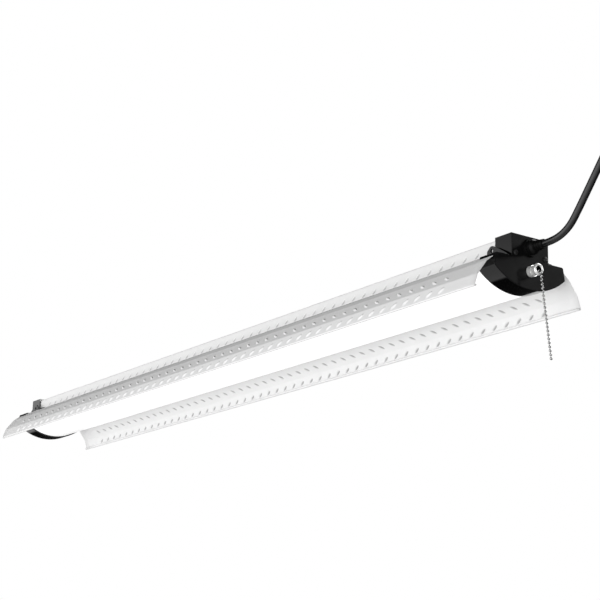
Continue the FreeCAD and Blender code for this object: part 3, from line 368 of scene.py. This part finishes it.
# painted shade inside the switch's bore
BORE_SHADE = (0.004, 0.004, 0.004, 1.0)


def vector_maths(tree, operation, *values, result="Vector"):
    """A vector, or one number about it, worked out from one or two others."""
    return operate(tree, "ShaderNodeVectorMath", operation, values)[result]


def dark_bore(material):
    """Paints shade into the bore: blackens a material where the length of (y, z - SWITCH_Z) is
    under BORE_DARK_R.
    """
    tree, shader = opened(material)
    away = vector_maths(tree, "SUBTRACT", object_place(tree), (0.0, 0.0, SWITCH_Z))
    across = vector_maths(tree, "MULTIPLY", away, (0.0, 1.0, 1.0))
    radius = vector_maths(tree, "LENGTH", across, result="Value")
    outside = ranged(tree, radius, 0.0, 1.0, BORE_DARK_R, BORE_UNSHADED_R)
    base = shader.inputs["Base Color"]
    feed(tree, base, mixed(tree, outside, BORE_SHADE, linked_to(base)))
    return material


MATERIALS["nickel"] = dark_bore(new_material(
    "nickel", (0.88, 0.88, 0.87), 0.26, metallic=0.5, mottle=0.04, mottle_scale=300.0))
print("added:", MATERIALS["nickel"].name)

# %% [markdown]
# ### A finish for every piece
# Each piece of the frame names its finish, so a loop can hand them out, where setting them
# one by one would soon miss a piece. The caps' screws are an exception: they are plain
# steel in the frame, but don't shine in the photograph, so they are blackened here.

# %% Paint the frame


def paint(thing, slot):
    """Gives an object one of the materials as its only one."""
    thing.data.materials.clear()
    thing.data.materials.append(MATERIALS[slot])


for row in frame["record"]["subparts"]:
    paint(NODES[row["node"]], row["material_slot"])
for screws in ("cap_screws_near", "cap_screws_far"):
    paint(NODES[screws], "black_screw")
paint(cord, "cord_rubber")
print("materials:", len(MATERIALS))

# %% [markdown]
# ## Stamped sheet metal
# The wings and the channel are thin sheet with rows of small slanted lozenges stamped into
# it: outwards in the wings, inwards in the channel's walls. A bump in the material would
# cast no outline and look flat from the side. So one function gives the height of the
# pattern anywhere on the sheet, and the lozenges are real forms in the mesh. Its grid is
# close only at the lozenges, because the sheet between them is straight.

# %% Stamped pattern
STAMP_PITCH = 0.0209
STAMP_COUNT = 52              # lozenges in a row
STAMP_HALF_LENGTH = 0.0062
STAMP_HALF_WIDTH = 0.0017
STAMP_HEIGHT = 0.0015
STAMP_ANGLE = math.radians(30)
THIN_EDGE = 1e-6              # keeps the division by a lozenge's edge finite at its tips
FINE_STEP = 0.0007            # about the grid's step within a lozenge, along the light


def stamped(x, s, middle, angle, size=1.0):
    """Height of one row of lozenges at x along the light and s across the sheet.

    In a lozenge's own axes, u along it and v across it, its edge lies where v is its half
    width times one minus (u over its half length) squared. Its height falls from the
    middle to that edge as one minus the square of the distance, and towards its tips as
    the square root of the edge's own width.
    """
    first = -STAMP_PITCH * (STAMP_COUNT - 1) / 2
    index = np.clip(np.round((x - first) / STAMP_PITCH), 0, STAMP_COUNT - 1)
    dx = x - first - index * STAMP_PITCH
    ds = s - middle
    u = (dx * math.cos(angle) + ds * math.sin(angle)) / (STAMP_HALF_LENGTH * size)
    v = (ds * math.cos(angle) - dx * math.sin(angle)) / (STAMP_HALF_WIDTH * size)
    edge = np.clip(1 - u ** 2, THIN_EDGE, None)
    inside = np.clip(1 - (v / edge) ** 2, 0, None) * (np.abs(u) < 1)
    return STAMP_HEIGHT * size * inside * np.sqrt(edge)


def stamped_columns(*ends):
    """Places along the sheet: close together at every lozenge, one between two, the ends."""
    middles = STAMP_PITCH * (np.arange(STAMP_COUNT) - (STAMP_COUNT - 1) / 2)
    fine = np.linspace(-STAMP_HALF_LENGTH, STAMP_HALF_LENGTH,
                       round(2 * STAMP_HALF_LENGTH / FINE_STEP) + 1)
    between = middles[:-1] + STAMP_PITCH / 2
    ends = np.array(ends)
    return np.sort(np.r_[(middles[:, None] + fine).ravel(), between, ends, -ends])


print("a row of lozenges is", round(STAMP_PITCH * (STAMP_COUNT - 1), 3), "m long")

# %% [markdown]
# ### A sheet from its section
# Bent sheet has the same section all along, and is thin. It could be a plane with a
# modifier that gives it thickness. Here both skins come from the same grid of points, so
# that a bump on the outside is a dent on the inside, each point knows how deep it is
# pressed, and any cell of the grid can be left out for a notch.

# %% Sheet metal


def add_mesh(name, points, faces, slot, body):
    """Makes a smoothly shaded mesh object from arrays of points and four-cornered faces."""
    mesh = bpy.data.meshes.new(name)
    mesh.vertices.add(len(points))
    mesh.vertices.foreach_set("co", np.ascontiguousarray(points, np.float32).ravel())
    mesh.loops.add(faces.size)
    mesh.loops.foreach_set("vertex_index", np.ascontiguousarray(faces, np.int32).ravel())
    mesh.polygons.add(len(faces))
    mesh.polygons.foreach_set("loop_start", np.arange(0, faces.size, 4, dtype=np.int32))
    mesh.polygons.foreach_set("use_smooth", np.full(len(faces), True))
    mesh.update(calc_edges=True)
    mesh.validate()
    thing = add_object(name, mesh)
    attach(thing, body)
    paint(thing, slot)
    return thing


def outward_normals(line, left):
    """Unit normals of a line in the YZ plane: the step between neighbours, turned square."""
    step = np.gradient(line, axis=0)
    step /= np.linalg.norm(step, axis=1)[:, None]
    normal = np.stack([-step[:, 1], step[:, 0]], 1)
    return normal if left else -normal


def sheet_metal(name, xs, line, thickness, height, keep, slot, body, left):
    """A thin sheet along X: outer and inner skins over a grid, closed round every edge.

    A point of the outer skin is the line's own point, moved along its normal by the
    height there, and one of the inner skin lies a thickness further in. height gives that
    at each x and each length along the line, keep says which cells of the grid are metal,
    and left whether the outside lies to the left of the line. The attribute "pressed"
    says how deep a dent is there, against the deepest, on the side on which it is one.
    """
    normal = outward_normals(line, left)
    along = np.r_[0, np.cumsum(np.linalg.norm(np.diff(line, axis=0), axis=1))]
    rise = height(xs[:, None], along[None, :])[..., None]
    skins = []
    for depth in (0.0, thickness):
        yz = line[None] + (rise - depth) * normal[None]
        x = np.broadcast_to(xs[:, None, None], yz.shape[:2] + (1,))
        skins.append(np.concatenate([x, yz], -1))
    points = np.concatenate([skin.reshape(-1, 3) for skin in skins])
    rows, columns = len(xs), len(line)
    inwards = rows * columns  # from a point's number on the outer skin to the inner one's
    at = np.arange(rows * columns).reshape(rows, columns)
    middle_x = (xs[1:] + xs[:-1]) / 2
    middle_y = (line[1:, 0] + line[:-1, 0]) / 2
    metal = keep(middle_x[:, None], middle_y[None, :])
    corner = [at[:-1, :-1], at[1:, :-1], at[1:, 1:], at[:-1, 1:]]
    outer_faces = np.stack(corner, -1)[metal]
    inner_faces = np.stack([c + inwards for c in corner[::-1]], -1)[metal]
    around = np.pad(metal, 1)
    sides = ((around[:-2, 1:-1], 3, 0), (around[2:, 1:-1], 1, 2),
             (around[1:-1, :-2], 0, 1), (around[1:-1, 2:], 2, 3))
    walls = []
    for neighbour, a, b in sides:
        edge = metal & ~neighbour
        first, last = corner[a][edge], corner[b][edge]
        walls.append(np.stack([last, first, first + inwards, last + inwards], -1))
    faces = np.concatenate([outer_faces, inner_faces] + walls)
    if not left:
        faces = faces[:, ::-1]
    used = np.unique(faces)
    new_index = np.zeros(len(points), int)
    new_index[used] = np.arange(len(used))
    sheet = add_mesh(name, points[used], new_index[faces], slot, body)
    dents = np.concatenate([-rise.ravel(), rise.ravel()]).clip(0) / STAMP_HEIGHT
    pressed = sheet.data.attributes.new("pressed", "FLOAT", "POINT")
    pressed.data.foreach_set("value", dents[used].astype(np.float32))
    return sheet


# %% [markdown]
# ## The wings
# The wings are the two reflectors. Their section is a flange that is riveted on, three
# flat stretches and a rolled hem, which keeps the thin edge stiff. It could be drawn as a
# curve and extruded, but as a row of points it also gives the way across the sheet, by
# which the rows of lozenges are placed: one on the panel, and one on the strip below it.
# Both ends are notched round the caps.

# %% Wings
EYE_HEIGHT = 0.053            # the eyes above the wings' lower edges
WING_SHEET = 0.0006
FLANGE_INNER_Y = 0.034
BEND = (0.04755, 0.0421)      # across the light, and above the wings' lower edges
PANEL_TOP = (0.061, 0.0316)
CREASE = (0.0735, 0.015)
HEM_RADIUS = 0.0015
HEM_CENTRE = (0.0765, HEM_RADIUS)
HEM_TURN = math.radians(250)
FLANGE_POINTS, SHOULDER_POINTS, PANEL_POINTS, STRIP_POINTS, HEM_POINTS = 4, 16, 33, 12, 15
PANEL_ROW = 0.0293            # the rows of lozenges, from the bend on along the sheet
STRIP_ROW = 0.0461
CAP_INNER_X = 0.5658          # the notches in the wings begin here
NOTCH_MIDDLE_X = 0.575        # one more column of the grid on the way to the end
WING_END_X = 0.59
NOTCH_Y = 0.0521


def wing_line():
    """The wing's outside in section: flange, three flat stretches and rolled hem.

    The hem is part of a circle, and the strip runs from the crease along its tangent.
    """
    flange = np.linspace((FLANGE_INNER_Y, BEND[1]), BEND, FLANGE_POINTS)[:-1]
    shoulder = np.linspace(BEND, PANEL_TOP, SHOULDER_POINTS)[:-1]
    panel = np.linspace(PANEL_TOP, CREASE, PANEL_POINTS)
    across = HEM_CENTRE[0] - CREASE[0]
    down = HEM_CENTRE[1] - CREASE[1]
    lean = math.asin(HEM_RADIUS / math.hypot(across, down))
    start = math.atan2(down, across) + lean + math.pi / 2
    angle = start - np.linspace(0, HEM_TURN, HEM_POINTS)
    hem = np.array(HEM_CENTRE) + HEM_RADIUS * np.stack([np.cos(angle), np.sin(angle)], 1)
    strip = np.linspace(CREASE, hem[0], STRIP_POINTS)[1:-1]
    line = np.concatenate([flange, shoulder, panel, strip, hem])
    line[:, 1] -= EYE_HEIGHT
    return line


def wing_height(x, s):
    """Two rows of lozenges that slant against each other, on the panel and on the strip."""
    flange = BEND[0] - FLANGE_INNER_Y
    return (stamped(x, s, flange + PANEL_ROW, STAMP_ANGLE)
            + stamped(x, s, flange + STRIP_ROW, -STAMP_ANGLE))


def wing_metal(x, y):
    """The wing is notched at both ends to clear the caps."""
    return (np.abs(x) < CAP_INNER_X) | (np.abs(y) > NOTCH_Y)


for side, name in ((1, "wing_right"), (-1, "wing_left")):
    line = wing_line() * (side, 1)
    columns = stamped_columns(CAP_INNER_X, NOTCH_MIDDLE_X, WING_END_X)
    wing = sheet_metal(name + "_sheet", columns, line, WING_SHEET, wing_height, wing_metal,
                       "white_paint", "light", left=side > 0)
    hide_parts(name)
    print(wing.name, "faces:", len(wing.data.polygons))

# %% [markdown]
# ## The channel
# The channel on top covers the driver: an upside-down U with a foot along each wall, by
# which it is screwed down. Lozenges could be laid on its plain walls as pieces of their
# own, but the wings' way serves here too, with another section. Its lozenges are smaller
# and pressed inwards, and its feet stop short of the caps.

# %% Channel
SHEET = 0.0008
CHANNEL_HALF = 0.025
CHANNEL_TOP = 0.0675
CHANNEL_FOOT = 0.0415
CHANNEL_BEND = 0.002
FOOT_WIDTH = 0.007
FOOT_POINTS, WALL_POINTS, CORNER_POINTS, TOP_POINTS = 4, 16, 7, 6
WALL_ROW = 0.0137             # the row of lozenges, from the foot's bend on up the wall
WALL_STAMP_SIZE = 0.8         # against those in the wings
FOOT_END_X = 0.562
CAP_MIDDLE_X = 0.574          # one more column of the grid on the way to the end
CHANNEL_END_X = 0.5847
FOOT_Y = CHANNEL_HALF + 0.0001    # all that lies further out is foot


def channel_line():
    """The channel's outside in section: foot, wall, rounded corner and top, both sides.

    The corner is a quarter of a circle, and the second half is the first one mirrored.
    """
    foot = np.linspace((CHANNEL_HALF - SHEET + FOOT_WIDTH, CHANNEL_FOOT + SHEET),
                       (CHANNEL_HALF, CHANNEL_FOOT + SHEET), FOOT_POINTS)[:-1]
    wall = np.linspace((CHANNEL_HALF, CHANNEL_FOOT + SHEET),
                       (CHANNEL_HALF, CHANNEL_TOP - CHANNEL_BEND), WALL_POINTS)[:-1]
    angle = np.linspace(0, math.pi / 2, CORNER_POINTS)
    corner = (np.array([CHANNEL_HALF - CHANNEL_BEND, CHANNEL_TOP - CHANNEL_BEND])
              + CHANNEL_BEND * np.stack([np.cos(angle), np.sin(angle)], 1))
    top = np.linspace(corner[-1], (0, CHANNEL_TOP), TOP_POINTS)[1:]
    half = np.concatenate([foot, wall, corner, top])
    line = np.concatenate([half, half[-2::-1] * (-1, 1)])
    line[:, 1] -= EYE_HEIGHT
    return line


def channel_height(x, s):
    """A row of small lozenges along each wall, pressed inwards."""
    total = np.linalg.norm(np.diff(channel_line(), axis=0), axis=1).sum()
    middle = FOOT_WIDTH - SHEET + WALL_ROW
    return -(stamped(x, s, middle, STAMP_ANGLE, WALL_STAMP_SIZE)
             + stamped(x, s, total - middle, -STAMP_ANGLE, WALL_STAMP_SIZE))


def channel_metal(x, y):
    """The feet stop short of the caps."""
    return (np.abs(x) < FOOT_END_X) | (np.abs(y) < FOOT_Y)


columns = stamped_columns(FOOT_END_X, CAP_MIDDLE_X, CHANNEL_END_X)
channel = sheet_metal("channel_sheet", columns, channel_line(), SHEET, channel_height,
                      channel_metal, "white_paint", "light", left=False)
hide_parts("driver_channel")
print(channel.name, "faces:", len(channel.data.polygons))

# %% [markdown]
# ## The bead chain
# The pull chain is a row of round beads on short links. Each bead could be a ball and each
# link a rod, but one profile of beads and links, turned about the chain's line, makes a
# whole stretch in one closed surface. The beads inside the sleeve, the one that turns the
# corner and the two hanging stretches move by themselves, so these are four pieces.

# %% Bead chain
BEAD_R = 0.0016
BEAD_PITCH = 0.0045
BEAD_RINGS = 13
BEAD_SIDES = 20
LINK_R = 0.0005
LINK_GAP = 0.0003             # between a stretch's first link and the bead before it
CHAIN_LEAN = math.radians(8)
HANGING_FROM = np.array([0.60885, 0.0, -0.0281])
LEAD_FROM = np.array([0.6053, 0.0, -0.02515])
INTO_SLEEVE = (-1, 0, 0)
DOWN = np.array([math.sin(CHAIN_LEAN), 0.0, -math.cos(CHAIN_LEAN)])
LEAD_BEADS, KNUCKLE_BEADS, UPPER_BEADS, LOWER_BEADS = 3, 1, 2, 20
UPPER_FROM = HANGING_FROM + DOWN * BEAD_PITCH * KNUCKLE_BEADS
LOWER_FROM = HANGING_FROM + DOWN * BEAD_PITCH * (KNUCKLE_BEADS + UPPER_BEADS)


def turned_points(profile, origin, axis, columns):
    """Points of a surface of revolution: (along, radius) pairs swung round an axis.

    Each is the origin, plus along times the axis, plus radius times the cosine of the
    angle on one side and its sine on the other. The axis mustn't run along Y.
    """
    axis = np.array(axis, float) / np.linalg.norm(axis)
    side = np.cross(axis, [0.0, 1.0, 0.0])
    side /= np.linalg.norm(side)
    other = np.cross(axis, side)
    angle = np.linspace(0, 2 * np.pi, columns, endpoint=False)
    spoke = np.cos(angle)[:, None] * side + np.sin(angle)[:, None] * other
    return (np.array(origin) + profile[:, 0, None, None] * axis
            + profile[:, 1, None, None] * spoke[None])


def ring_faces(rows, columns):
    """Faces of a grid of points that closes on itself along its columns."""
    at = np.arange(rows * columns).reshape(rows, columns)
    turned = np.roll(at, -1, axis=1)
    return np.stack([at[:-1], turned[:-1], turned[1:], at[1:]], -1).reshape(-1, 4)


def bead_profile(count, link_before):
    """(along, radius) pairs of a row of beads with a link between each two.

    A bead is an arc of a circle from one link's radius to the other's, and a link is the
    straight line from its last point to the next bead's first.
    """
    reach = math.sqrt(BEAD_R ** 2 - LINK_R ** 2)
    edge = math.acos(reach / BEAD_R)
    angle = np.linspace(math.pi - edge, edge, BEAD_RINGS)
    bead = BEAD_R * np.stack([np.cos(angle), np.sin(angle)], 1)
    rows = [bead + (BEAD_PITCH * i, 0) for i in range(count)]
    if link_before:
        rows.insert(0, np.array([(BEAD_R + LINK_GAP - BEAD_PITCH, LINK_R)]))
    profile = np.concatenate(rows)
    return np.concatenate([[(profile[0, 0], 0)], profile, [(profile[-1, 0], 0)]])


def bead_stretch(name, node, first, direction, count, link_before, body):
    """One straight stretch of chain."""
    points = turned_points(bead_profile(count, link_before), first, direction, BEAD_SIDES)
    faces = ring_faces(len(points), BEAD_SIDES)
    chain = add_mesh(name, points.reshape(-1, 3), faces, "nickel", body)
    paint(chain, "bead_nickel")
    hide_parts(node)
    return chain


bead_stretch("lead_chain", "chain_lead", LEAD_FROM, INTO_SLEEVE, LEAD_BEADS, False,
             "lead_beads")
bead_stretch("knuckle_chain", "chain_knuckle", HANGING_FROM, DOWN, KNUCKLE_BEADS, False,
             "knuckle_bead")
bead_stretch("upper_chain", "chain_upper", UPPER_FROM, DOWN, UPPER_BEADS, True, "upper_beads")
bead_stretch("lower_chain", "chain_lower", LOWER_FROM, DOWN, LOWER_BEADS, True, "lower_beads")
print("chain beads:", LEAD_BEADS + KNUCKLE_BEADS + UPPER_BEADS + LOWER_BEADS)

# %% [markdown]
# ## The floor
# A round pale floor lies well below the light and sends some of the lamps' light back up,
# as a room's own floor does. A plane would do as well, but its corners might show.

# %% Floor
FLOOR_Z = -2.4
FLOOR_RADIUS = 1.7
FLOOR_CORNERS = 96


def make_floor():
    """One flat face whose corners are the radius times the cosine and sine of an angle."""
    angle = np.linspace(0, 2 * np.pi, FLOOR_CORNERS, endpoint=False)
    mesh = bpy.data.meshes.new("floor")
    rim = [(FLOOR_RADIUS * math.cos(a), FLOOR_RADIUS * math.sin(a), FLOOR_Z) for a in angle]
    mesh.from_pydata(rim, [], [list(range(len(rim)))])
    floor = add_object("floor", mesh)
    mesh.materials.append(new_material("floor", (0.80, 0.80, 0.80), 0.8, mottle=0.01))
    return floor


print("stage:", make_floor().name)

# %% [markdown]
# ## The light around it
# The photograph has a plain white ground and very soft light, as from large screens of
# cloth. A lamp could stand for each screen, but a world whose brightness depends on the
# direction does it all at once: bright on the open side of the light, dim on the other
# side and overhead, and plain white to the camera.

# %% World
# Each is a strength at two places along an axis, then these two places. The first two are
# added, the next two multiply their sum, and the last is the least that there is.
OPEN_SIDE = (1.42, 0.02, 0.13, 0.18)      # along Y: the open side
STRAIGHT_ACROSS = (1.5, 0.0, -0.9, -0.2)  # along Y: more, the nearer to straight across
OVERHEAD = (1.0, 0.04, 0.22, 0.34)        # along Z: hardly any from above
UNDERNEATH = (0.25, 1.0, -1.0, -0.25)     # along Z: less from straight below
NEAR_END = (0.0, 0.10, 0.0, 0.3)          # along X: a little from the near end


def make_world():
    """Soft light by direction for the object, and plain white for the camera."""
    world = bpy.data.worlds.new("studio")
    bpy.context.scene.world = world
    world.use_nodes = True
    tree = world.node_tree
    tree.nodes.clear()
    way = tree.nodes.new("ShaderNodeTexCoord").outputs["Generated"]
    x, y, z = add_node(tree, "ShaderNodeSeparateXYZ", Vector=way).outputs
    strength = maths(tree, "ADD", ranged(tree, y, *OPEN_SIDE),
                     ranged(tree, y, *STRAIGHT_ACROSS))
    for share in (OVERHEAD, UNDERNEATH):
        strength = maths(tree, "MULTIPLY", strength, ranged(tree, z, *share))
    strength = maths(tree, "MAXIMUM", strength, ranged(tree, x, *NEAR_END))
    studio = add_node(tree, "ShaderNodeBackground", Strength=strength)
    plain = add_node(tree, "ShaderNodeBackground", Color=WHITE, Strength=1.0)
    seen = tree.nodes.new("ShaderNodeLightPath").outputs["Is Camera Ray"]
    choice = tree.nodes.new("ShaderNodeMixShader")
    for socket, value in zip(choice.inputs, (seen, studio.outputs[0], plain.outputs[0])):
        feed(tree, socket, value)
    add_node(tree, "ShaderNodeOutputWorld", Surface=choice.outputs[0])
    return world


print("world nodes:", len(make_world().node_tree.nodes))

# %% [markdown]
# ### Two lamps
# Soft light from all round throws hardly any shadow, but the photograph has small ones on
# the near cap, so a small lamp throws them. The world leaves the back and the top almost
# dark, as this camera doesn't see them. A wide soft lamp lights them for cameras that do.

# %% Lamps
SIDE_LAMP_WAY = Vector((0.66, 0.69, 0.29))
SIDE_LAMP_TARGET = Vector((0.6, 0.0, 0.0))
SIDE_LAMP_DISTANCE = 1.5
SIDE_LAMP_SIZE = 0.14
SIDE_LAMP_ENERGY = 2.0
BACK_LAMP_WAY = Vector((-0.20, 0.76, 0.62))
BACK_LAMP_SPREAD = math.radians(50)
BACK_LAMP_ENERGY = 2.7


def add_lamp(data, way):
    """Puts a lamp into the scene, shining from the given direction."""
    lamp = add_object(data.name, data)
    lamp.rotation_euler = way.to_track_quat("Z", "Y").to_euler()
    return lamp


def make_side_lamp():
    """A small square lamp off to the right that throws the shadows on the near cap."""
    data = bpy.data.lights.new("side_lamp", "AREA")
    data.size = SIDE_LAMP_SIZE
    data.energy = SIDE_LAMP_ENERGY
    lamp = add_lamp(data, SIDE_LAMP_WAY)
    lamp.location = SIDE_LAMP_TARGET + SIDE_LAMP_WAY * SIDE_LAMP_DISTANCE
    lamp.visible_camera = False
    return lamp


def make_back_lamp():
    """A wide soft lamp above and behind that lights the top, the back and the floor."""
    data = bpy.data.lights.new("back_lamp", "SUN")
    data.angle = BACK_LAMP_SPREAD
    data.energy = BACK_LAMP_ENERGY
    return add_lamp(data, BACK_LAMP_WAY)


print("lamps:", make_side_lamp().name, make_back_lamp().name)
bpy.context.scene.view_settings.view_transform = "Standard"
